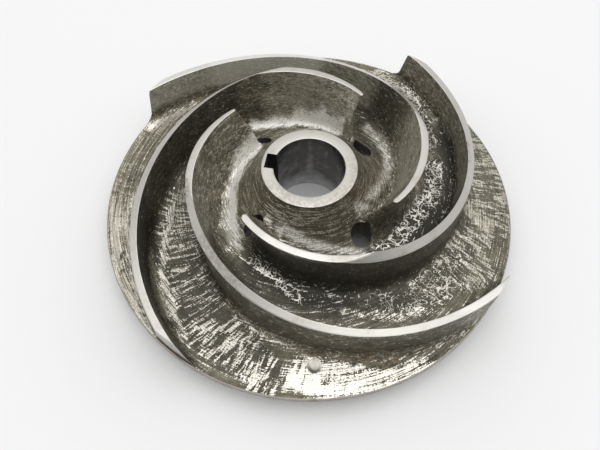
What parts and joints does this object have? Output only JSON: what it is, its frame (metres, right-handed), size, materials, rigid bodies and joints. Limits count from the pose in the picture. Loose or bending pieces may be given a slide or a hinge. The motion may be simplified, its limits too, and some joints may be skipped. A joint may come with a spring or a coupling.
{
  "type": "semi-open pump impeller",
  "caption": "Semi-open centrifugal pump impeller, one casting with back-swept vanes on a full back disc, a keyed hub bore and balance holes.",
  "frame": {"origin": "on the bore axis, level with the rear hub face that the impeller rests on", "axes": "+Z along the bore axis towards the eye and the vane tips, +X to the right and +Y away from the camera in the reference picture"},
  "size_m": [0.3048, 0.3048, 0.072],
  "materials": {
    "cast_metal": "dark as-cast skin with rubbed bright patches and rust tints; vane tips, hub face, bore and rim turned bright"
  },
  "bodies": {
    "root": {"impeller_casting": "cast_metal"}
  },
  "joints": []
}
